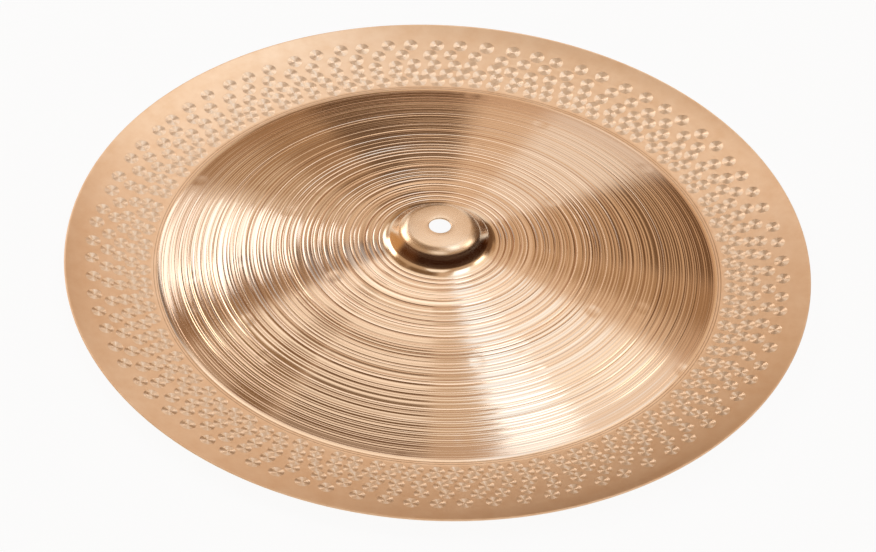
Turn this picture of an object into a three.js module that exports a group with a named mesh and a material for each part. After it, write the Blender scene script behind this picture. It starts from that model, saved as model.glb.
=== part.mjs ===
// An 18 inch china cymbal: one disc of bronze, spun, hammered and turned, with nothing fastened to it.
// Millimetres, +Z up. The origin is on the axis, in the plane that the cymbal rests on when its bell is up.
// Going outwards from the hole, the section has a flat-topped bell, a bow that falls away in a gentle
// arc, a narrow valley where the disc turns up again, and a wide flange that rises to the rim.

import * as THREE from "three";

// Diameters, from the hole to the rim. The rim is the nominal size of the cymbal.
const rimDiameter = 457.2;
const valleyDiameter = 348.5; // at the middle of its flat land
const bellBaseDiameter = 64.6;
const bellShoulderDiameter = 44.4;
const crownFlatDiameter = 26;
const holeDiameter = 13.5;

// Heights of the upper face, each measured from the step below it.
const bowRise = 21.7; // from the valley to the foot of the bell
const bellRise = 10.1; // from the foot of the bell to its shoulder
const crownRise = 1.0; // from the shoulder to the flat around the hole
const flangeRise = 8.8; // from the valley to the rim

// The width of the valley's flat land, before its two bends take their share.
const valleyLand = 2.5;

// How far the bow bulges above a straight cone, and the flange sags below one.
const bowBulge = 2.9;
const flangeSag = 0.3;

// The sheet is left thicker at the bell and is turned thinner towards the rim.
const bellThickness = 1.15;
const valleyThickness = 0.92;
const rimThickness = 0.8;
const rimChamfer = 0.2;

// Bend radii of the upper face.
const crownBend = 30;
const shoulderBend = 7;
const bellFootBend = 5.5;
const valleyBend = 7;

// How finely the curved stretches are divided.
const turnSteps = 96;
const bendSteps = 3;
const bowSteps = 8;
const flangeSteps = 4;

const half = (diameter) => diameter / 2;

const valleyInnerRadius = half(valleyDiameter) - valleyLand / 2;
const valleyOuterRadius = half(valleyDiameter) + valleyLand / 2;

// A corner of the section, rounded to a bend radius. A bend of 0 leaves it as it is.
const corner = (r, z, bend = 0) => ({ at: new THREE.Vector2(r, z), bend });

// The inner points of a shallow arc from a to b, whose middle stands off the chord by bulge.
function shallowArc(a, b, bulge, steps) {
  const chord = b.clone().sub(a);
  const normal = new THREE.Vector2(-chord.y, chord.x).normalize();
  const points = [];
  for (let i = 1; i < steps; i++) {
    const t = i / steps;
    const off = 4 * bulge * t * (1 - t);
    points.push(a.clone().addScaledVector(chord, t).addScaledVector(normal, off));
  }
  return points;
}

// The points of an arc that rounds the corner between two straight stretches.
// It never takes more than half of either stretch.
function roundedCorner(before, here, after, bend) {
  const back = before.clone().sub(here);
  const ahead = after.clone().sub(here);
  const turn = Math.PI - Math.acos(back.dot(ahead) / (back.length() * ahead.length()));
  if (bend === 0 || turn === 0) return [here.clone()];
  const wanted = bend * Math.tan(turn / 2);
  const reach = Math.min(wanted, back.length() / 2, ahead.length() / 2);
  const start = here.clone().addScaledVector(back.normalize(), reach);
  const end = here.clone().addScaledVector(ahead.normalize(), reach);
  const arc = new THREE.QuadraticBezierCurve(start, here, end);
  return arc.getPoints(bendSteps);
}

// The upper face of the section, from the edge of the hole out to the rim.
function upperFace() {
  const bellFootHeight = bowRise;
  const shoulderHeight = bellFootHeight + bellRise;
  const crownHeight = shoulderHeight + crownRise;
  const bellFoot = new THREE.Vector2(half(bellBaseDiameter), bellFootHeight);
  const valleyInner = new THREE.Vector2(valleyInnerRadius, 0);
  const valleyOuter = new THREE.Vector2(valleyOuterRadius, 0);
  const rim = new THREE.Vector2(half(rimDiameter), flangeRise);
  const asCorner = (p, bend = 0) => corner(p.x, p.y, bend);
  const corners = [
    corner(half(holeDiameter), crownHeight),
    corner(half(crownFlatDiameter), crownHeight, crownBend),
    corner(half(bellShoulderDiameter), shoulderHeight, shoulderBend),
    asCorner(bellFoot, bellFootBend),
    ...shallowArc(bellFoot, valleyInner, bowBulge, bowSteps).map((p) => asCorner(p)),
    asCorner(valleyInner, valleyBend),
    asCorner(valleyOuter, valleyBend),
    ...shallowArc(valleyOuter, rim, -flangeSag, flangeSteps).map((p) => asCorner(p)),
    asCorner(rim),
  ];
  return corners.flatMap(({ at, bend }, i) =>
    i === 0 || i === corners.length - 1
      ? [at.clone()]
      : roundedCorner(corners[i - 1].at, at, corners[i + 1].at, bend),
  );
}

// The sheet's thickness at a radius. The bell and the valley each keep one gauge, the bow tapers
// from the first to the second, and the flange tapers on to the rim.
function thicknessAt(r) {
  const { inverseLerp, lerp } = THREE.MathUtils;
  const bowShare = inverseLerp(half(bellBaseDiameter), valleyInnerRadius, r);
  const flangeShare = inverseLerp(valleyOuterRadius, half(rimDiameter), r);
  if (bowShare < 0) return bellThickness;
  if (bowShare < 1) return lerp(bellThickness, valleyThickness, bowShare);
  if (flangeShare < 0) return valleyThickness;
  return lerp(valleyThickness, rimThickness, flangeShare);
}

// The lower face: each point of the upper one, moved square to the sheet by its thickness.
// The first and last points go straight down, so that the hole and the rim have upright walls.
function lowerFace(upper) {
  return upper.map((point, i) => {
    const depth = thicknessAt(point.x);
    if (i === 0 || i === upper.length - 1) return new THREE.Vector2(point.x, point.y - depth);
    const into = point.clone().sub(upper[i - 1]).normalize();
    const out = upper[i + 1].clone().sub(point).normalize();
    const along = into.add(out).normalize();
    const down = new THREE.Vector2(along.y, -along.x);
    return point.clone().addScaledVector(down, depth);
  });
}

// The closed section: out along the lower face, round the chamfered rim, and back along the upper one.
function section() {
  const upper = upperFace();
  const lower = lowerFace(upper);
  const rimTop = upper.pop();
  const rimEdge = [
    new THREE.Vector2(rimTop.x, rimTop.y - rimChamfer),
    new THREE.Vector2(rimTop.x - rimChamfer, rimTop.y),
  ];
  const outline = [...lower, ...rimEdge, ...upper.reverse()];
  const lowest = Math.min(...outline.map((p) => p.y));
  outline.forEach((p) => p.setY(p.y - lowest));
  return [...outline, outline[0].clone()];
}

const bronze = new THREE.MeshStandardMaterial({
  color: 0xd3a374,
  roughness: 0.28,
  metalness: 1,
});

function buildCymbal() {
  const disc = new THREE.Mesh(new THREE.LatheGeometry(section(), turnSteps), bronze);
  disc.name = "cymbal";
  disc.rotation.x = Math.PI / 2; // a lathe turns about Y, and the cymbal's axis is Z
  return disc;
}

const chinaCymbal = new THREE.Group();
chinaCymbal.add(buildCymbal());

export default chinaCymbal;
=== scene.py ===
# %% [markdown]
# An 18 inch china cymbal, bell up.
# The real thing is one disc of tin bronze. A cup is pressed into its middle, the disc is hammered
# into a bow, the outside is turned up again, and a hand-held tool turns grooves into the bow on a
# lathe. A china has its last, wide zone bent upwards, and here that flange is struck with rows of
# small round marks.
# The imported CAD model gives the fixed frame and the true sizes. Its disc is smooth, so this scene
# puts a finely made disc in its place: a bell, a grooved bow and a struck flange, which meet edge
# to edge as the zones of the one sheet do.

import math
import random

import bpy
from mathutils import Matrix, Quaternion, Vector
from mathutils.kdtree import KDTree


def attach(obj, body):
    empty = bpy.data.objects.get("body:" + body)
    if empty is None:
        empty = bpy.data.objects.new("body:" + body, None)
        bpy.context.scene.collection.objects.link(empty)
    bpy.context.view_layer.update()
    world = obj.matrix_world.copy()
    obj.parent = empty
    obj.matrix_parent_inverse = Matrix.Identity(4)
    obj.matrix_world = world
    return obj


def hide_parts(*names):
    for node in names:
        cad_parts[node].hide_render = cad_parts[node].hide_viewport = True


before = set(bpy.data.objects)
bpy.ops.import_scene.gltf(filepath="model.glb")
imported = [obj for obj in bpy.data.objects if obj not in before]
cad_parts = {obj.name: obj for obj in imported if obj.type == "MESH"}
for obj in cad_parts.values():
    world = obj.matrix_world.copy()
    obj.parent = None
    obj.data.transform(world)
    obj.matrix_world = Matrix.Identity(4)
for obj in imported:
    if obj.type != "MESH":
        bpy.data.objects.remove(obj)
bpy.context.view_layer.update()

# %% [markdown]
# Blender works in metres, and a cymbal smith in millimetres. One function turns the second into
# the first, so that every size below can be read off a ruler. Heights are those of the upper face
# above the table, and the gauge is the thickness of the sheet.

# %% Sizes in millimetres
def mm(value):
    return value * 0.001


rim_radius = 228.6
rim_height = 9.72
valley_radius = 174.25
valley_land = 2.5
valley_height = 0.92
bell_foot_radius = 32.3
bell_foot_height = 22.62
crown_flat_radius = 13.0
crown_height = 33.72
hole_radius = 6.75
bell_gauge = 1.15
valley_gauge = 0.92
rim_gauge = 0.80
print("disc", 2 * rim_radius, "mm across and", crown_height, "mm high")

# %% [markdown]
# The photograph looks down on the cymbal from the front, 41 degrees above the table, through a
# long lens that is turned by 3 degrees. The distance can't be read off a single round thing, so a
# usual 2.4 m is taken, and the focal length then follows from the width of the rim in the frame.
# The lens aims a little to the near side of the rim's centre.

# %% The camera
camera_elevation = math.radians(41.34)
camera_roll = math.radians(3.04)
camera_distance = 2400
aim_right = 0.43
aim_back = -19.45
scene = bpy.context.scene
to_camera = Vector((0, -math.cos(camera_elevation), math.sin(camera_elevation)))
rim_centre = Vector((0, 0, mm(rim_height)))
aim_point = Vector((mm(aim_right), mm(aim_back), mm(rim_height)))

camera_data = bpy.data.cameras.new("camera")
camera_data.sensor_width = 36
camera_data.lens = 160.9
camera_data.clip_start = 0.05
camera_data.clip_end = 50
camera = bpy.data.objects.new("camera", camera_data)
scene.collection.objects.link(camera)
camera.location = rim_centre + mm(camera_distance) * to_camera
look = (aim_point - camera.location).to_track_quat("-Z", "Y")
camera.rotation_mode = "QUATERNION"
camera.rotation_quaternion = look @ Quaternion((0, 0, 1), camera_roll)
scene.camera = camera
print("camera at", camera.location)

# %% [markdown]
# Materials and the world are made of nodes. One small function adds a node, sets what is asked
# and joins it to the nodes before it. A second one turns the sRGB colours that a painter reads
# off a screen into the linear numbers that the renderer wants.

# %% Helpers for nodes and colours
def add_node(tree, kind, settings=None, inputs=None):
    made = tree.nodes.new(kind)
    for name, value in (settings or {}).items():
        setattr(made, name, value)
    for name, value in (inputs or {}).items():
        if isinstance(value, bpy.types.NodeSocket):
            tree.links.new(value, made.inputs[name])
        else:
            made.inputs[name].default_value = value
    return made


def srgb(code):
    values = [int(code[i : i + 2], 16) / 255 for i in (1, 3, 5)]
    linear = [v / 12.92 if v <= 0.04045 else ((v + 0.055) / 1.055) ** 2.4 for v in values]
    return (*linear, 1.0)


print("white is", srgb("#ffffff"))

# %% [markdown]
# Polished metal has hardly any look of its own: it shows the room. A studio for a cymbal has a
# pale backdrop all round, reflectors and soft boxes above it, and warm, darker gaps between them,
# which give the turned grooves their dark lines and the bow its bright and brown sectors.
# The world holds that room. A direction is turned into a heading, from 0 at the right through 90
# behind the cymbal to 180 at the left, and a height above the horizon.

# %% Headings and heights in the world
scene.view_settings.view_transform = "Standard"
world = bpy.data.worlds.new("studio")
scene.world = world
world.use_nodes = True
sky = world.node_tree
sky.nodes.clear()


def sky_math(operation, first, second=None, third=None):
    inputs = {0: first}
    if second is not None:
        inputs[1] = second
    if third is not None:
        inputs[2] = third
    return add_node(sky, "ShaderNodeMath", {"operation": operation}, inputs).outputs[0]


def heading_and_height(vector):
    parts = add_node(sky, "ShaderNodeSeparateXYZ", inputs={"Vector": vector}).outputs
    heading = sky_math("DEGREES", sky_math("ARCTAN2", parts["Y"], parts["X"]))
    height = sky_math("DEGREES", sky_math("ARCSINE", parts["Z"]))
    return heading, height


direction = add_node(sky, "ShaderNodeTexCoord").outputs["Generated"]
heading, height = heading_and_height(direction)
print("the world tells headings and heights")

# %% [markdown]
# The backdrop is nearly white up to 8 degrees. Above it the air of the room is warm and darker.

# %% The backdrop and the air above it
height_steps = [
    (0, "#fbfaf9"),
    (8, "#f6f3f0"),
    (15, "#c9b39e"),
    (38, "#bda389"),
    (56, "#cdb59c"),
    (80, "#b39a82"),
]
zenith = 90
ramp = add_node(sky, "ShaderNodeValToRGB", inputs={"Fac": sky_math("DIVIDE", height, zenith)})
while len(ramp.color_ramp.elements) < len(height_steps):
    ramp.color_ramp.elements.new(0.5)
for element, (degrees, code) in zip(ramp.color_ramp.elements, height_steps):
    element.position = degrees / zenith
    element.color = srgb(code)
print(len(height_steps), "steps from the horizon upwards")

# %% [markdown]
# A reflector or a dark card is a soft-edged patch of the world. The panels on the ceiling are
# placed by heading and height. The rest are placed as a photographer finds them: by the metal
# that shows them to the camera. The face that mirrors a direction to the camera points half-way
# between the two, so its own heading and its tilt from level say where the card hangs.

# %% Patches in the world
halfway = add_node(
    sky, "ShaderNodeVectorMath", {"operation": "ADD"}, {0: direction, 1: to_camera}
).outputs[0]
facing = add_node(sky, "ShaderNodeVectorMath", {"operation": "NORMALIZE"}, {0: halfway}).outputs[0]
facing_heading, facing_height = heading_and_height(facing)
facing_tilt = sky_math("SUBTRACT", zenith, facing_height)
upright_level = 10  # at this height or tilt, a leaning card has its stated headings


def soft_range(reach, half, edge):
    return add_node(
        sky,
        "ShaderNodeMapRange",
        {"interpolation_type": "SMOOTHSTEP"},
        {
            "Value": reach,
            "From Min": half - edge / 2,
            "From Max": half + edge / 2,
            "To Min": 1.0,
            "To Max": 0.0,
        },
    ).outputs["Result"]


def patch(light, turn, level, card):
    name, first, last, low, high, side_edge, level_edge, lean, strength, code = card
    leaning = sky_math("MULTIPLY", sky_math("SUBTRACT", level, upright_level), lean)
    offset = sky_math("SUBTRACT", sky_math("SUBTRACT", turn, (first + last) / 2), leaning)
    turned = sky_math("WRAP", offset, 180, -180)
    across = soft_range(sky_math("ABSOLUTE", turned), (last - first) / 2, side_edge)
    offset = sky_math("SUBTRACT", level, (low + high) / 2)
    upright = soft_range(sky_math("ABSOLUTE", offset), (high - low) / 2, level_edge)
    share = sky_math("MULTIPLY", across, upright)
    colour = [strength * channel for channel in srgb(code)[:3]] + [1.0]
    mixed = add_node(
        sky, "ShaderNodeMix", {"data_type": "RGBA"}, {0: share, 6: light, 7: colour}
    ).outputs[2]
    print(name, "in the world")
    return mixed


# %% Panels on the ceiling
ceiling_panels = [
    # name, first and last heading, lowest and highest height, soft edge at the sides and at top
    # and bottom, lean in degrees of heading for each degree of height, strength, colour
    ("front ceiling panel", -130, -50, 64, 82, 8, 5, 0, 1.3, "#ffffff"),
    ("rear ceiling panel", 60, 120, 80, 90, 10, 5, 0, 0.9, "#ffffff"),
]
light = ramp.outputs["Color"]
for card in ceiling_panels:
    light = patch(light, heading, height, card)

# %% [markdown]
# The bow's slope grows from 5 degrees at the bell to 12 near the valley, and a groove's sides
# lean a few degrees to either side of that, so cards at these tilts make its sectors. The flange
# faces inwards, so it shows what is on the far side of its heading. Larger tilts are seen in the
# marks and in the bends of the bell, and those above 41 degrees in the bell's wall.

# %% Cards that the cymbal shows
cards = [
    # name, first and last heading, least and greatest tilt, soft edge at the sides and at top and
    # bottom, lean in degrees of heading for each degree of tilt, strength, colour
    ("warm air", -180, 180, -30, 19, 1, 6, 0, 0.78, "#ffe0c4"),
    ("cream ceiling", 207, 334, -30, 15, 5, 3, 0.2, 1.12, "#fff5ec"),
    ("far gap", 82, 110, 8, 26, 11, 5, 0.2, 0.16, "#ffcda4"),
    ("far streaks", 109, 126, -10, 3.0, 3, 3, 0.3, 1.7, "#fff2e4"),
    ("dark side of the far streaks", 107, 126, 5, 26, 3, 4, 0.3, 0.17, "#ffcfa6"),
    ("far left streaks", 127, 151, -10, 1.5, 4, 3, 0.3, 1.5, "#ffeeda"),
    ("far left air", 124, 152, 10, 26, 6, 3, 0.3, 0.44, "#ffd0a2"),
    ("far left gap", 124, 152, 5, 10, 6, 3, 0.3, 0.24, "#ffcc9e"),
    ("left side air", 152, 188, 8.5, 26, 6, 3, 0, 0.44, "#ffd0a2"),
    ("left wall light", 160, 192, 14, 24, 6, 4, 0, 1.0, "#fff4ea"),
    ("left scrim", 146, 168, 5, 12, 8, 4, 0, 0.72, "#ffe8d0"),
    ("left gap", 185, 206, 2, 11, 3, 2, 0, 0.06, "#ffbf90"),
    ("outer left gap", 194, 206, 8, 26, 4, 3, 0.3, 0.36, "#ffcc9c"),
    ("front left gap", 208, 222, 15, 28, 4, 3, 0.2, 0.36, "#ffd0a2"),
    ("front left shade", 222, 234, 11.5, 28, 3, 3, 0, 0.30, "#ffcfa0"),
    ("front gap", 234, 270, 14, 28, 4, 4, 0.2, 0.20, "#ffcb98"),
    ("front right air", 270, 284, 8, 28, 5, 4, 0, 0.70, "#ffe4ca"),
    ("right ceiling", 301, 332, 8, 13, 5, 3, 0.4, 1.5, "#e8f2ff"),
    ("right ceiling's edge", 301, 331, 13, 28, 5, 3, 0.4, 1.15, "#fff6ee"),
    ("white strip", 283, 300, 3, 28, 2, 3, 0.5, 1.35, "#e8f0ff"),
    ("bright middle of the white strip", 284, 299, 9, 14, 2, 3, 0.6, 1.75, "#d8eaff"),
    ("bright end of the white strip", 284, 302, 15, 28, 2, 3, 0.3, 2.5, "#e4f0ff"),
    ("right gap", 343, 356, 9, 26, 6, 4, 0.3, 0.46, "#ffd0a2"),
    ("right air", 354, 392, 5, 13, 6, 3, 0.3, 0.66, "#ffd8b2"),
    ("dark right gap", 356, 392, 13, 26, 6, 3, 0.3, 0.20, "#ffc896"),
    ("far right reflector", 30, 61, 5, 22, 7, 4, 0.3, 1.02, "#fbf2ec"),
    ("dark room beyond the rim", -24, 150, 23, 44, 16, 5, 0, 0.15, "#ffc090"),
    ("golden left wall", 128, 214, 38, 62, 9, 6, 0, 0.62, "#ffc586"),
    ("brown wall beside the camera", 212, 424, 41, 55, 12, 3, 0, 0.10, "#ffa05c"),
    ("dark wall beside the camera", 240, 352, 41, 55, 16, 3, 0, 0.8, "#381a08"),
    ("low box at the left", 186, 214, 24, 37, 6, 4, 0, 3.6, "#fff4ea"),
    ("low box at the right", -44, -28, 25, 34, 6, 4, 0, 3.0, "#fff4ea"),
]
for card in cards:
    light = patch(light, facing_heading, facing_tilt, card)
studio = add_node(sky, "ShaderNodeBackground", inputs={"Color": light, "Strength": 1.0})
add_node(sky, "ShaderNodeOutputWorld", inputs={"Surface": studio.outputs[0]})

# %% [markdown]
# Two soft boxes are real lamps, because they hang so near that each part of the cymbal sees them
# in another direction. The left one is 1 m away, beyond the cymbal and to its left, and makes the
# outer bow bright at the left, while the inner bow and the right-hand flange don't show it. The
# rear one is large and weak, 2 m away, and lifts the metal that lies almost level: the crown of
# the bell and the grooves next to it.

# %% The soft boxes
def hang_lamp(name, centre, width, height, roll, strength, code):
    lamp = bpy.data.lights.new(name, "AREA")
    lamp.shape = "RECTANGLE"
    lamp.size = width
    lamp.size_y = height
    lamp.color = srgb(code)[:3]
    lamp.energy = strength * math.pi * width * height
    hung = bpy.data.objects.new(name, lamp)
    scene.collection.objects.link(hung)
    hung.location = centre
    towards = (Vector(centre) - rim_centre).to_track_quat("Z", "Y")
    rolled = Quaternion((0, 0, 1), math.radians(roll))
    hung.rotation_euler = (towards @ rolled).to_euler()
    hung.visible_camera = False
    print(name, (Vector(centre) - rim_centre).length, "m from the rim's centre")


soft_boxes = [
    # name, centre, width and height in metres, roll in degrees, strength, colour
    ("left soft box", (-0.452, 0.695, 0.569), 0.31, 0.22, 20, 1.55, "#d8eaff"),
    ("rear soft box", (-0.156, 1.368, 1.461), 0.60, 0.30, 0, 0.48, "#d8e8ff"),
]
for soft_box in soft_boxes:
    hang_lamp(*soft_box)

# %% [markdown]
# The cymbal lies on white studio paper. The camera, and metal that mirrors the floor, see it as
# an even near-white with a little of the matt paper under it, so that the cymbal's soft shadow
# still shows. For all other light it is mostly matt paper.

# %% The floor
floor_size = 12
floor_gap = 0.05
seen_glow_share = 0.93
unseen_glow_share = 0.35
bpy.ops.object.select_all(action="DESELECT")
bpy.ops.mesh.primitive_plane_add(size=floor_size, location=(0, 0, mm(-floor_gap)))
floor = bpy.context.object
floor.name = "floor"
paper = bpy.data.materials.new("white studio paper")
paper.use_nodes = True
tree = paper.node_tree
tree.nodes.clear()
matt = add_node(tree, "ShaderNodeBsdfDiffuse", inputs={"Color": srgb("#f3f2f0")})
glow = add_node(tree, "ShaderNodeEmission", inputs={"Color": srgb("#ffffff"), "Strength": 1.0})
path = add_node(tree, "ShaderNodeLightPath")
mirrored = add_node(
    tree,
    "ShaderNodeMath",
    {"operation": "ADD", "use_clamp": True},
    {0: path.outputs["Is Glossy Ray"], 1: path.outputs["Is Transmission Ray"]},
)
seen = add_node(
    tree,
    "ShaderNodeMath",
    {"operation": "ADD", "use_clamp": True},
    {0: path.outputs["Is Camera Ray"], 1: mirrored.outputs[0]},
)
share = add_node(
    tree,
    "ShaderNodeMapRange",
    inputs={"Value": seen.outputs[0], "To Min": unseen_glow_share, "To Max": seen_glow_share},
)
cover = add_node(
    tree,
    "ShaderNodeMixShader",
    inputs={0: share.outputs["Result"], 1: matt.outputs[0], 2: glow.outputs[0]},
)
add_node(tree, "ShaderNodeOutputMaterial", inputs={"Surface": cover.outputs[0]})
floor.data.materials.append(paper)
print("floor", floor_size, "m across")

# %% [markdown]
# Every zone of the disc is a body of revolution, so each is made as the smith makes it: a section
# is drawn and spun round the axis. The section is pulled out of one vertex, point by point, as
# with the E key. Bevel rounds its corners, and Spin turns it into a closed ring. With 180 steps
# the middle of each flat on the rim lies only 0.035 mm inside the true circle.

# %% Draw a section
weld_gap = 0.02
pick_reach = 0.03


def draw_section(name, points):
    bpy.ops.object.select_all(action="DESELECT")
    bpy.ops.mesh.primitive_plane_add(size=mm(1))
    drawn = bpy.context.object
    drawn.name = name
    bpy.ops.object.mode_set(mode="EDIT")
    bpy.ops.mesh.select_all(action="SELECT")
    bpy.ops.mesh.merge(type="CENTER")
    bpy.ops.transform.translate(value=(mm(points[0][0]), 0, mm(points[0][1])))
    for before, here in zip(points, points[1:] + points[:1]):
        step = (mm(here[0] - before[0]), 0, mm(here[1] - before[1]))
        bpy.ops.mesh.extrude_region_move(TRANSFORM_OT_translate={"value": step})
    bpy.ops.mesh.select_all(action="SELECT")
    bpy.ops.mesh.remove_doubles(threshold=mm(weld_gap))
    bpy.ops.object.mode_set(mode="OBJECT")
    print(name, "has a section of", len(drawn.data.vertices), "points")
    return drawn


# %% Round the corners of a section
def round_corners(drawn, corners, offset, segments):
    places = [Vector((mm(r), 0, mm(z))) for r, z in corners]
    bpy.ops.object.mode_set(mode="EDIT")
    bpy.ops.mesh.select_all(action="DESELECT")
    bpy.ops.object.mode_set(mode="OBJECT")
    for vertex in drawn.data.vertices:
        vertex.select = any((vertex.co - place).length < mm(pick_reach) for place in places)
    bpy.ops.object.mode_set(mode="EDIT")
    bpy.ops.mesh.select_mode(type="VERT")
    bpy.ops.mesh.bevel(offset=mm(offset), segments=segments, affect="VERTICES")
    bpy.ops.object.mode_set(mode="OBJECT")
    print(len(places), "corners rounded by", offset, "mm")


# %% Spin a section round the axis
spin_steps = 180


def spin_round(drawn):
    bpy.ops.object.mode_set(mode="EDIT")
    bpy.ops.mesh.select_all(action="SELECT")
    bpy.ops.mesh.spin(steps=spin_steps, angle=2 * math.pi, center=(0, 0, 0), axis=(0, 0, 1))
    bpy.ops.mesh.select_all(action="SELECT")
    bpy.ops.mesh.remove_doubles(threshold=mm(weld_gap))
    bpy.ops.mesh.normals_make_consistent(inside=False)
    bpy.ops.object.mode_set(mode="OBJECT")
    triangles = sum(len(face.vertices) - 2 for face in drawn.data.polygons)
    print(drawn.name, "has", triangles, "triangles")


# %% [markdown]
# The sheet's two faces. The bow's upper face is a shallow arc from the foot of the bell towards
# the valley, and the flange rises from the valley to the rim along a shallow hollow. The lower
# face follows one thickness below: 1.15 mm at the bell, thinning to 0.8 mm at the rim.

# %% The faces of the sheet
valley_inner = valley_radius - valley_land / 2
valley_outer = valley_radius + valley_land / 2
bow_bulge = 2.9
flange_sag = 0.9
probe = 0.01


def bow_top(r):
    share = (r - bell_foot_radius) / (valley_inner - bell_foot_radius)
    chord = bell_foot_height + (valley_height - bell_foot_height) * share
    return chord + 4 * bow_bulge * share * (1 - share)


def flange_top(r):
    share = (r - valley_outer) / (rim_radius - valley_outer)
    return valley_height + (rim_height - valley_height) * share - 4 * flange_sag * share * (1 - share)


def gauge(r):
    if r < valley_inner:
        share = max(0, (r - bell_foot_radius) / (valley_inner - bell_foot_radius))
        return bell_gauge + (valley_gauge - bell_gauge) * share
    share = max(0, (r - valley_outer) / (rim_radius - valley_outer))
    return valley_gauge + (rim_gauge - valley_gauge) * share


def slope(face, r):
    return (face(r + probe) - face(r - probe)) / (2 * probe)


def below(face, r):
    tilt = math.atan(slope(face, r))
    return (r + gauge(r) * math.sin(tilt), face(r) - gauge(r) * math.cos(tilt))


print("bow slopes", math.degrees(math.atan(slope(bow_top, 40))), "degrees near the bell")
print("and", math.degrees(math.atan(slope(bow_top, 170))), "near the valley")

# %% [markdown]
# The knee. The real bow doesn't run into the valley in one sweep: it turns level in a sharp knee
# about 3 mm wide. So from a radius of 120 mm outwards the arc is let down by up to 0.6 mm, until
# it meets the knee, and the knee itself is a small parabola.

# %% The knee beside the valley
knee_start = 169.0
knee_end = 172.2
sink_start = 120
knee_slope = slope(bow_top, knee_start)
knee_width = knee_end - knee_start
knee_drop = bow_top(knee_start) - valley_height + knee_slope * knee_width / 2


def sheet_top(r):
    if r > knee_end:
        return valley_height
    if r > knee_start:
        return valley_height - knee_slope * (knee_end - r) ** 2 / (2 * knee_width)
    share = max(0, (r - sink_start) / (knee_start - sink_start))
    return bow_top(r) - knee_drop * share * share * (3 - 2 * share)


bell_edge = 36.0  # the bell's ring ends here and the bow's begins
flange_edge = 171.9  # the bow's ring ends here and the flange's begins
print("the bow is let down by", knee_drop, "mm at the knee")

# %% [markdown]
# The bell. On the real cymbal it is pressed, so its wall is smooth, its shoulder and its foot are
# rounded by the die, and the crown round the hole is all but flat. It could be a squashed sphere
# on a disc, but the die's own roundings are what catches the light, so its section has a few
# corners, and Bevel rounds each by its own amount.

# %% The bell
bell_shoulder = (22.6, 33.15)
bell_wall = (27.0, 27.55)
bell_foot = (32.2, 22.66)
inner_foot = (31.7, 21.55)
inner_wall = (26.2, 26.75)
inner_shoulder = (22.05, 32.05)
bell_upper = [
    (hole_radius, crown_height),
    (crown_flat_radius, crown_height),
    bell_shoulder,
    bell_wall,
    bell_foot,
    (bell_edge, bow_top(bell_edge)),
]
bell_lower = [
    below(bow_top, bell_edge),
    inner_foot,
    inner_wall,
    inner_shoulder,
    (crown_flat_radius, crown_height - bell_gauge),
    (hole_radius, crown_height - bell_gauge),
]
bell_bends = [
    # upper and lower corner, length that the bend takes of each side, segments
    (bell_upper[1], bell_lower[4], 3.0, 5),
    (bell_shoulder, inner_shoulder, 4.2, 14),
    (bell_wall, inner_wall, 2.2, 6),
    (bell_foot, inner_foot, 3.2, 10),
    (bell_upper[0], bell_lower[5], 0.5, 4),
]
bell = draw_section("bell", bell_upper + bell_lower)
for upper, lower, offset, segments in bell_bends:
    round_corners(bell, [upper, lower], offset, segments)
spin_round(bell)

# %% [markdown]
# The bow. The turning tool is held by hand against the spinning disc, so it leaves hollow grooves
# that meet in sharp crests. They are about 2.2 mm wide near the bell and 1.7 mm near the valley,
# never quite even in width or depth, and slower waves of 3 to 7 mm lie under them where the hand
# pressed and let go. A bump map could draw them, but they are what gives the bow its lines of
# light from every side, so they are real geometry, with six points in the section for each.

# %% The hand's slow waves
groove_start = 36.5
groove_end = 166.4
wave_fade_in = 6
wave_fade_out = 4
wave_sizes = [
    # rise, length and phase
    (0.034, 3.6, 0.0),
    (0.018, 3.05, 1.0),
    (0.020, 6.7, 2.0),
]


def hand_waves(r):
    fade = max(0, min(1, (r - groove_start) / wave_fade_in, (groove_end - r) / wave_fade_out))
    waves = 0
    for rise, length, phase in wave_sizes:
        waves += rise * math.cos(math.tau * r / length + phase)
    return waves * fade


print("the waves add", hand_waves(100), "mm at a radius of 100 mm")

# %% [markdown]
# Each groove draws its own width, push and skew from one seeded random source. The push says how
# deep the tool went, and it swings from one groove to the next, more so near the bell. The third
# number of each point says how brown the metal is there, from 0 on a crest to 1.

# %% Grooves for the upper face
rng = random.Random(18)
groove_depth = 0.050
groove_width = 2.2
groove_narrowing = 0.5
groove_unevenness = 0.32
inner_push = 1.75
push_loss = 0.5
push_unevenness = 0.35
inner_beat = 0.45
beat_loss = 0.25
skew_power = 0.5
# brown in the groove hollows: tarnish, together with painted shade of light reflected twice
hollow_tarnish_and_shade = 0.34
groove_shares = (0.0, 0.17, 0.34, 0.5, 0.67, 0.84)
bow_upper = [(bell_edge, sheet_top(bell_edge), 0.0)]
edge = groove_start
turn = 0
while edge < groove_end - 1:
    outwards = (edge - groove_start) / (groove_end - groove_start)
    width = (groove_width - groove_narrowing * outwards) * (
        1 + groove_unevenness * rng.uniform(-1, 1)
    )
    beat = (inner_beat - beat_loss * outwards) * (-1) ** turn
    unevenness = 1 + push_unevenness * rng.uniform(-1, 1)
    push = (inner_push - push_loss * outwards) * (1 + beat) * unevenness
    skew = 2 ** rng.uniform(-skew_power, skew_power)
    for share in groove_shares:
        r = edge + share * width
        hollow = math.sin(math.pi * share**skew)
        z = sheet_top(r) - groove_depth * push * hollow + hand_waves(r)
        bow_upper.append((r, z, min(1, hollow_tarnish_and_shade * push * hollow**3)))
    edge += width
    turn += 1
bow_upper.append((edge, sheet_top(edge), 0.0))
print(turn, "grooves,", len(bow_upper), "points on the upper face, the last crest at", edge)

# %% [markdown]
# Outside the last groove the sheet is left smooth, apart from two fine lines that the tool's
# point cut, one beside the knee and one in it.

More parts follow.
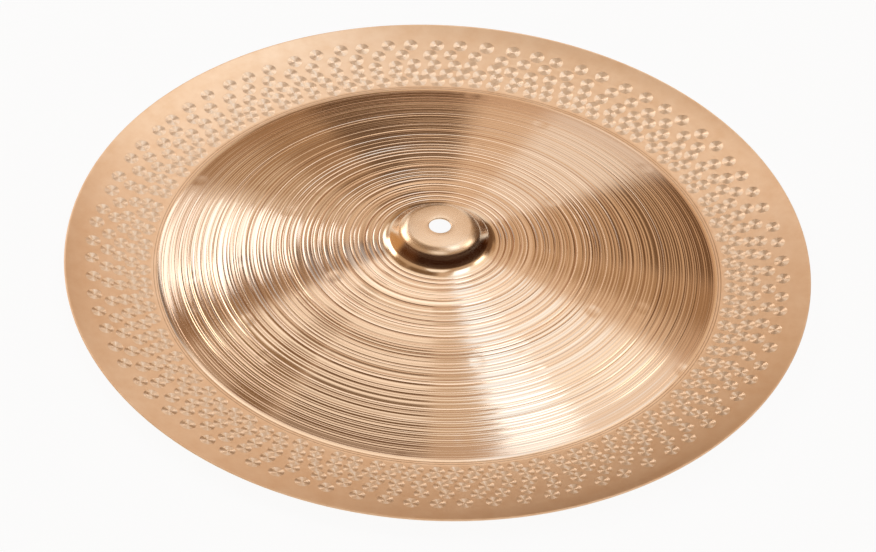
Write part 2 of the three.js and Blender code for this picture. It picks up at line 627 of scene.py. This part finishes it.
# %% The smooth edge of the bow
knee_radii = (knee_start, 170.3, 171.1, flange_edge)
edge_lines = (168.2, 169.6)
edge_line_width = 0.25
edge_line_depth = 0.04
band = [(r, 0) for r in knee_radii]
for r in edge_lines:
    band += [(r - edge_line_width, 0), (r, 1), (r + edge_line_width, 0)]
for r, cut in sorted(band):
    bow_upper.append((r, sheet_top(r) - edge_line_depth * cut, 0.0))
print(len(edge_lines), "fine lines beside the valley")

# %% [markdown]
# The photograph doesn't show the underside. It is given what cymbals of this kind have there:
# shallow rings about 5 mm wide, turned with a broader tool.

# %% Rings for the lower face, and the bow
ring_start = 44.0
ring_end = 165
ring_width = 5.1
ring_unevenness = 0.15
ring_depth = 0.05
ring_shares = (0.0, 0.33, 0.67)
bow_lower = [below(bow_top, bell_edge)]
edge = ring_start
while edge < ring_end:
    width = ring_width * (1 + ring_unevenness * rng.uniform(-1, 1))
    for share in ring_shares:
        r, z = below(bow_top, edge + share * width)
        bow_lower.append((r, z + ring_depth * math.sin(math.pi * share)))
    edge += width
bow_lower.append(below(bow_top, flange_edge))
bow = draw_section("bow", [(r, z) for r, z, _ in bow_upper] + bow_lower[::-1])
spin_round(bow)

# %% [markdown]
# The flange. It starts in the valley, where the sheet turns up again and the tool has cut two
# thin lines, and it ends at the rim, where the last millimetre lies a little flatter and both
# corners are broken by a file. As a blank it is smooth, so a few points along it are enough.

# %% The flange blank
valley_lines = (172.6, 174.2)
valley_line_width = 0.25
valley_line_depth = 0.05
blank_radii = (178, 186, 194, 202, 210, 216, 222)
lip_width = 1.0
lip_rise = 0.09
land_rounding = 0.3
valley_rounding = 0.4
rim_rounding = 0.22
flange_upper = [(flange_edge, sheet_top(flange_edge))]
for line in valley_lines:
    for off, cut in ((-valley_line_width, 0), (0, valley_line_depth), (valley_line_width, 0)):
        flange_upper.append((line + off, sheet_top(line + off) - cut))
flange_upper.append((valley_outer, valley_height))
flange_upper += [(r, flange_top(r)) for r in blank_radii]
flange_upper += [(rim_radius - lip_width, rim_height - lip_rise), (rim_radius, rim_height)]
flange_lower = [(rim_radius, rim_height - rim_gauge)]
flange_lower += [below(flange_top, r) for r in reversed(blank_radii)]
flange_lower += [(valley_outer, 0.0), (valley_inner, 0.0), below(bow_top, flange_edge)]
flange = draw_section("flange", flange_upper + flange_lower)
round_corners(flange, [(valley_inner, 0.0)], land_rounding, 3)
round_corners(flange, [(valley_outer, valley_height), (valley_outer, 0.0)], valley_rounding, 4)
round_corners(flange, [flange_upper[-1]], rim_rounding, 3)
round_corners(flange, [flange_lower[0]], rim_rounding, 3)
spin_round(flange)

# %% [markdown]
# The marks. A small round punch with a pointed face strikes the flange 460 times, in five rows
# that wander a little. Each blow leaves a shallow dish with a sharp centre. The punch is modelled
# once, as a flat cone with its point down and its top pulled up into a shank, and is copied to
# each place. Boolean takes the copies out of the blank. A bump map would give the dishes too, but
# their edges would then be missing from the shape of the flange.

# %% The punch
mark_radius = 4.65
mark_depth = 0.22
shank_length = 1.5
bpy.ops.object.select_all(action="DESELECT")
bpy.ops.mesh.primitive_cone_add(
    vertices=20,
    radius1=0,
    radius2=mm(mark_radius),
    depth=mm(mark_depth),
    location=(0, 0, mm(-mark_depth / 2)),
)
punch = bpy.context.object
punch.name = "punch"
bpy.ops.object.transform_apply(location=True)
bpy.ops.object.mode_set(mode="EDIT")
bpy.ops.mesh.select_mode(type="FACE")
bpy.ops.mesh.select_all(action="DESELECT")
bpy.ops.object.mode_set(mode="OBJECT")
for face in punch.data.polygons:
    face.select = face.normal.z > 0.9
bpy.ops.object.mode_set(mode="EDIT")
bpy.ops.mesh.extrude_region_move(TRANSFORM_OT_translate={"value": (0, 0, mm(shank_length))})
bpy.ops.object.mode_set(mode="OBJECT")
print("punch has", len(punch.data.polygons), "faces")

# %% [markdown]
# Each row starts a little further round than the last, and each blow strays by up to 1.7 mm round
# the flange and 0.8 mm across it. Marks of neighbouring rows overlap, so the blows are dealt out
# to four passes, in which no two cutters touch each other.

# %% Place the blows
mark_rows = [
    # radius and number of blows in each row
    (211.5, 82),
    (202.6, 82),
    (194.6, 96),
    (187.2, 104),
    (180.4, 96),
]
row_shift_share = 0.37
stray_turn = math.radians(0.45)
stray_radius = 0.8
stray_depth = 0.03
stray_size = 0.04
mark_centres = []
mark_normals = []
passes = [[], [], [], []]
for row, (radius, count) in enumerate(mark_rows):
    for i in range(count):
        turn = math.tau * (i + row_shift_share * row) / count + stray_turn * rng.uniform(-1, 1)
        r = radius + stray_radius * rng.uniform(-1, 1)
        lean = math.atan(slope(flange_top, r))
        normal = Vector((-math.sin(lean), 0, math.cos(lean)))
        along = Vector((math.cos(lean), 0, math.sin(lean)))
        seat = Matrix((along, normal.cross(along), normal)).transposed().to_4x4()
        depth = stray_depth * rng.uniform(-1, 1)
        seat.translation = Vector((mm(r), 0, mm(flange_top(r) + depth)))
        size = 1 + stray_size * rng.uniform(-1, 1)
        twist = Matrix.Rotation(rng.uniform(0, 1), 4, "Z")
        place = Matrix.Rotation(turn, 4, "Z") @ seat @ Matrix.Diagonal((size, size, 1, 1)) @ twist
        blow = punch.copy()
        blow.data = punch.data.copy()
        blow.matrix_world = place
        scene.collection.objects.link(blow)
        passes[2 * (row % 2) + i % 2].append(blow)
        mark_centres.append(place.translation.copy())
        mark_normals.append((place.to_3x3() @ Vector((0, 0, 1))).normalized())
print(len(mark_centres), "blows in", len(passes), "passes")

# %% [markdown]
# The copies of a pass are joined into one cutter, and Boolean's manifold solver takes it out. At
# the end the flange's list of materials is emptied, so that the finishes can fill it in order.

# %% Strike the flange
for blows in passes:
    bpy.ops.object.select_all(action="DESELECT")
    for blow in blows:
        blow.select_set(True)
    bpy.context.view_layer.objects.active = blows[0]
    bpy.ops.object.join()
    one_pass = bpy.context.object
    strike = flange.modifiers.new("strike", "BOOLEAN")
    strike.operation = "DIFFERENCE"
    strike.solver = "MANIFOLD"
    strike.object = one_pass
    bpy.ops.object.select_all(action="DESELECT")
    flange.select_set(True)
    bpy.context.view_layer.objects.active = flange
    bpy.ops.object.modifier_apply(modifier="strike")
    bpy.data.objects.remove(one_pass)
bpy.data.objects.remove(punch)
flange.data.materials.clear()
triangles = sum(len(face.vertices) - 2 for face in flange.data.polygons)
print("the struck flange has", triangles, "triangles")

# %% [markdown]
# Brushed metal stretches its highlights across the brushing, and inside each mark the punch left
# rings of its own. So every corner of the flange stores what the finish of the marks needs: the
# way to it from the nearest mark's centre, where the blank faced at that mark, and the mark's
# number. The same pass gives the struck faces their own material slot. A face is struck where it
# lies within a mark's reach and below the blank's smooth face.

# %% Store the marks on the flange
mark_reach = 1.06 * mark_radius
least_sunk = 0.004
most_sunk = 0.7
tree_of_marks = KDTree(len(mark_centres))
for index, centre in enumerate(mark_centres):
    tree_of_marks.insert(centre, index)
tree_of_marks.balance()
mesh = flange.data
for name, kind in (
    ("from_centre", "FLOAT_VECTOR"),
    ("blank_normal", "FLOAT_VECTOR"),
    ("blow_number", "FLOAT"),
):
    mesh.attributes.new(name, kind, "CORNER")
from_centre = mesh.attributes["from_centre"]
blank_normal = mesh.attributes["blank_normal"]
blow_number = mesh.attributes["blow_number"]
struck_faces = 0
for face in mesh.polygons:
    middle = face.center
    radius = math.hypot(middle.x, middle.y) / mm(1)
    centre, index, distance = tree_of_marks.find(middle)
    sunk = flange_top(radius) - middle.z / mm(1)
    inside = radius > valley_outer and distance < mm(mark_reach)
    struck = inside and least_sunk < sunk < most_sunk and face.normal.z > 0.5
    face.material_index = 1 if struck else 0
    struck_faces += struck
    for corner in face.loop_indices:
        spot = mesh.vertices[mesh.loops[corner].vertex_index].co
        from_centre.data[corner].vector = spot - centre
        blank_normal.data[corner].vector = mark_normals[index]
        blow_number.data[corner].value = index
print(struck_faces, "struck faces")

# %% [markdown]
# Tin bronze: a warm, pale copper alloy, polished bright by the tool and left bare or thinly
# lacquered. A metal keeps the default IOR, and its base colour is its mirror colour. Real grooves
# keep a little brown tarnish in their hollows, and the brown there is also painted shade: the
# darkening of light that is reflected twice in a hollow. What lies more than half a millimetre
# below the arc of the bow is evenly brown: the underside, and the let down edge beside the knee.
# So the bow stores how brown each point is, and its finish mixes two colours by it.

# %% Store the tarnish and painted shade on the bow
# an even brown for what lies below the bow's arc
even_brown = 0.4
even_below = 0.5
tarnish_and_shade = bow.data.attributes.new("tarnish_and_shade", "FLOAT", "POINT")
by_radius = {round(mm(r), 5): brown for r, _, brown in bow_upper}
for vertex in bow.data.vertices:
    radius = math.hypot(vertex.co.x, vertex.co.y)
    nearest = by_radius.get(round(radius, 5), 0.0)
    upper = vertex.co.z / mm(1) > bow_top(radius / mm(1)) - even_below
    tarnish_and_shade.data[vertex.index].value = nearest if upper else even_brown
print("tarnish stored on", len(bow.data.vertices), "points")

# %% [markdown]
# All the finishes on a lathe run round the axis. The distance from the axis and the way round it
# are read from the object's own coordinates, and a noise that changes quickly with the distance
# and slowly round the axis gives the lines that a tool or a brush leaves.

# %% Lines round the axis
def axis_coordinates(tree):
    place = add_node(tree, "ShaderNodeTexCoord").outputs["Object"]
    axes = add_node(tree, "ShaderNodeSeparateXYZ", inputs={"Vector": place}).outputs
    flat = add_node(
        tree, "ShaderNodeCombineXYZ", inputs={"X": axes["X"], "Y": axes["Y"]}
    ).outputs[0]
    radius = add_node(
        tree, "ShaderNodeVectorMath", {"operation": "LENGTH"}, {0: flat}
    ).outputs["Value"]
    around = add_node(
        tree, "ShaderNodeVectorMath", {"operation": "NORMALIZE"}, {0: flat}
    ).outputs[0]
    return place, radius, around


def noise(tree, vector, scale, detail):
    return add_node(
        tree,
        "ShaderNodeTexNoise",
        inputs={"Vector": vector, "Scale": scale, "Detail": detail, "Roughness": 0.6},
    ).outputs["Fac"]


def turned_lines(tree, radius, around, pitch, detail):
    turn_axes = add_node(tree, "ShaderNodeSeparateXYZ", inputs={"Vector": around}).outputs
    across = add_node(
        tree, "ShaderNodeMath", {"operation": "MULTIPLY"}, {0: radius, 1: 1 / mm(pitch)}
    ).outputs[0]
    ring = add_node(
        tree,
        "ShaderNodeCombineXYZ",
        inputs={"X": turn_axes["X"], "Y": turn_axes["Y"], "Z": across},
    ).outputs[0]
    print("lines", pitch, "mm apart")
    return noise(tree, ring, 1.0, detail)


# %% Sums, mixes and bumps
def remap(tree, value, low, high, to_low, to_high):
    return add_node(
        tree,
        "ShaderNodeMapRange",
        inputs={
            "Value": value,
            "From Min": low,
            "From Max": high,
            "To Min": to_low,
            "To Max": to_high,
        },
    ).outputs["Result"]


def combine(tree, operation, first, second):
    return add_node(
        tree, "ShaderNodeMath", {"operation": operation}, {0: first, 1: second}
    ).outputs[0]


def mix_colours(tree, share, first, second):
    return add_node(
        tree, "ShaderNodeMix", {"data_type": "RGBA"}, {0: share, 6: first, 7: second}
    ).outputs[2]


def bump(tree, height, depth, normal=None):
    inputs = {"Height": height, "Distance": mm(depth), "Strength": 1.0}
    if normal is not None:
        inputs["Normal"] = normal
    return add_node(tree, "ShaderNodeBump", inputs=inputs).outputs[0]


# %% [markdown]
# Every finish ends in the same metal shader. Its highlights are stretched across the lines: round
# the axis they follow a radial tangent, and the marks hand in a tangent of their own.

# %% Start and finish a metal
def new_metal(name):
    made = bpy.data.materials.new(name)
    made.use_nodes = True
    made.node_tree.nodes.clear()
    return made, made.node_tree


def finish_metal(tree, colour, roughness, anisotropic, normal, tangent=None):
    if tangent is None:
        tangent = add_node(
            tree, "ShaderNodeTangent", {"direction_type": "RADIAL", "axis": "Z"}
        ).outputs[0]
    metal = add_node(
        tree,
        "ShaderNodeBsdfPrincipled",
        inputs={
            "Base Color": colour,
            "Metallic": 1.0,
            "Roughness": roughness,
            "Anisotropic": anisotropic,
            "Anisotropic Rotation": 0.25,
            "Normal": normal,
            "Tangent": tangent,
        },
    )
    add_node(tree, "ShaderNodeOutputMaterial", inputs={"Surface": metal.outputs[0]})
    print("metal with", len(tree.nodes), "nodes")


# %% [markdown]
# Turned bronze, for the bow. The tool leaves bright, nearly mirror-like metal, with brown tarnish
# in the hollows, and there the brown also paints the shade of light reflected twice. The fine
# lines of the tool's point, 0.9 mm apart, make the light sparkle along the grooves, and shallow
# hammer dents 14 mm across, left from before the turning, bend the lines of light a little. The
# grooves are geometry, so bump is left with what is finer or flatter.

# %% Turned bronze for the bow
dent_spacing = 44
dent_radius = 7
turned, tree = new_metal("turned tin bronze")
place, radius, around = axis_coordinates(tree)
fine_lines = turned_lines(tree, radius, around, 0.9, 2.0)
# the stored brown share: tarnish and painted shade in the hollows, even brown below the arc
tarnish_and_shade_share = add_node(tree, "ShaderNodeAttribute", {"attribute_name": "tarnish_and_shade"}).outputs["Fac"]
tint = combine(tree, "MULTIPLY", tarnish_and_shade_share, remap(tree, fine_lines, 0.25, 0.75, 0.4, 1.0))
colour = mix_colours(tree, tint, srgb("#f2d9bd"), srgb("#96571f"))
dent_cells = add_node(
    tree,
    "ShaderNodeTexVoronoi",
    {"voronoi_dimensions": "2D"},
    {"Vector": place, "Scale": 1 / mm(dent_spacing), "Randomness": 0.9},
).outputs["Distance"]
dent = add_node(
    tree,
    "ShaderNodeMapRange",
    {"interpolation_type": "SMOOTHERSTEP"},
    {"Value": dent_cells, "From Max": dent_radius / dent_spacing},
).outputs["Result"]
dented = bump(tree, dent, 0.045)
finish_metal(tree, colour, 0.12, 0.6, bump(tree, fine_lines, 0.004, dented))
bow.data.materials.append(turned)

# %% [markdown]
# Pressed bronze, for the bell. It is smooth metal, faintly cloudy where the lacquer is thicker,
# with fine polishing lines 0.4 mm apart. The crown and the shoulder have a satin sheen, which
# fades out down the wall, so the wall mirrors the room and the crown only glows.

# %% Pressed bronze for the bell
satin_end = 22.5
bright_start = 27.5
pressed, tree = new_metal("pressed tin bronze")
place, radius, around = axis_coordinates(tree)
clouds = noise(tree, place, 1 / mm(16), 3.0)
polish = turned_lines(tree, radius, around, 0.4, 2.0)
colour = mix_colours(
    tree, remap(tree, clouds, 0.35, 0.7, 0.0, 0.3), srgb("#efd5b7"), srgb("#dcb48a")
)
sheen = remap(tree, radius, mm(satin_end), mm(bright_start), 0.13, 0.0)
roughness = combine(tree, "ADD", sheen, remap(tree, polish, 0.3, 0.7, 0.12, 0.17))
finish_metal(tree, colour, roughness, 0.3, bump(tree, polish, 0.0012))
bell.data.materials.append(pressed)

# %% [markdown]
# Satin bronze, for the flange between the marks. It is brushed round the axis, with lines 0.5 mm
# apart that spread the light, soft clouds of warmer colour 12 mm across from handling, and brown
# tarnish in the two lines that are turned into the valley.

# %% Satin bronze for the flange
line_heart = 0.15
line_edge = 0.4
satin, tree = new_metal("satin tin bronze")
place, radius, around = axis_coordinates(tree)
clouds = noise(tree, place, 1 / mm(12), 3.0)
brushing = turned_lines(tree, radius, around, 0.5, 2.0)
colour = mix_colours(
    tree, remap(tree, clouds, 0.3, 0.7, 0.0, 0.4), srgb("#f0d0ae"), srgb("#deb184")
)
for line in valley_lines:
    away = combine(tree, "ABSOLUTE", combine(tree, "SUBTRACT", radius, mm(line)), 0.0)
    brown = remap(tree, away, mm(line_heart), mm(line_edge), 0.4, 0.0)
    colour = mix_colours(tree, brown, colour, srgb("#7d4a20"))
roughness = remap(tree, brushing, 0.3, 0.7, 0.28, 0.36)
finish_metal(tree, colour, roughness, 0.5, bump(tree, brushing, 0.003))
flange.data.materials.append(satin)

# %% [markdown]
# Struck bronze, for the marks. Each mark is a shallow dish whose rings run round its own centre,
# so its highlights open into fans of light and dark. The twenty flat faces that the punch cuts
# would show as facets, so the finish works out the dish's smooth normal from the stored way from
# the centre, and its tangent from that. Fine scratches of the punch run out from the centre.

# %% The dish and its rings
dish_slope = 0.08
struck_bronze, tree = new_metal("struck tin bronze")


def world_way(name):
    stored = add_node(tree, "ShaderNodeAttribute", {"attribute_name": name}).outputs["Vector"]
    return add_node(
        tree,
        "ShaderNodeVectorTransform",
        {"vector_type": "VECTOR", "convert_from": "OBJECT", "convert_to": "WORLD"},
        {"Vector": stored},
    ).outputs[0]


def vector_math(operation, inputs):
    return add_node(tree, "ShaderNodeVectorMath", {"operation": operation}, inputs).outputs[0]


arm = world_way("from_centre")
slant = vector_math("SCALE", {0: arm, "Scale": dish_slope / mm(mark_radius)})
slanted = vector_math("SUBTRACT", {0: world_way("blank_normal"), 1: slant})
dish_normal = vector_math("NORMALIZE", {0: slanted})
ring_way = vector_math("CROSS_PRODUCT", {0: dish_normal, 1: arm})
tangent = vector_math("NORMALIZE", {0: ring_way})
spoke = vector_math("NORMALIZE", {0: arm})
print("the dish leans", math.degrees(math.atan(dish_slope)), "degrees at its edge")

# %% Struck bronze for the marks
number = add_node(tree, "ShaderNodeAttribute", {"attribute_name": "blow_number"}).outputs["Fac"]
scratches = add_node(
    tree,
    "ShaderNodeTexNoise",
    {"noise_dimensions": "4D"},
    {"Vector": spoke, "W": number, "Scale": 3.0, "Detail": 2.0, "Roughness": 0.6},
).outputs["Fac"]
colour = mix_colours(
    tree, remap(tree, scratches, 0.35, 0.65, 0.0, 0.35), srgb("#fde4c8"), srgb("#e6bc8e")
)
finish_metal(tree, colour, 0.35, 1.0, bump(tree, scratches, 0.008, dish_normal), tangent)
flange.data.materials.append(struck_bronze)

# %% [markdown]
# Smooth shading, up to an angle that suits each piece. The bell's bends are all rounded, so 30
# degrees smooths every one. The bow keeps the crests that are sharper than 7 degrees, and the
# flange keeps the edges of its marks, whose cones lean by 2.7 degrees.

# %% Smooth shading
for piece, angle in ((bell, 30), (bow, 7), (flange, 2.2)):
    bpy.ops.object.select_all(action="DESELECT")
    piece.select_set(True)
    bpy.context.view_layer.objects.active = piece
    bpy.ops.object.shade_smooth_by_angle(angle=math.radians(angle))
    print(piece.name, "is smooth below", angle, "degrees")

# %% [markdown]
# The cymbal has no moving part, so its three rings ride on the root, and each stands for the one
# CAD disc.

# %% Seat the pieces in the frame
for piece in (bell, bow, flange):
    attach(piece, "root")
    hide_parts("cymbal")
    print(piece.name, "rides on the root")
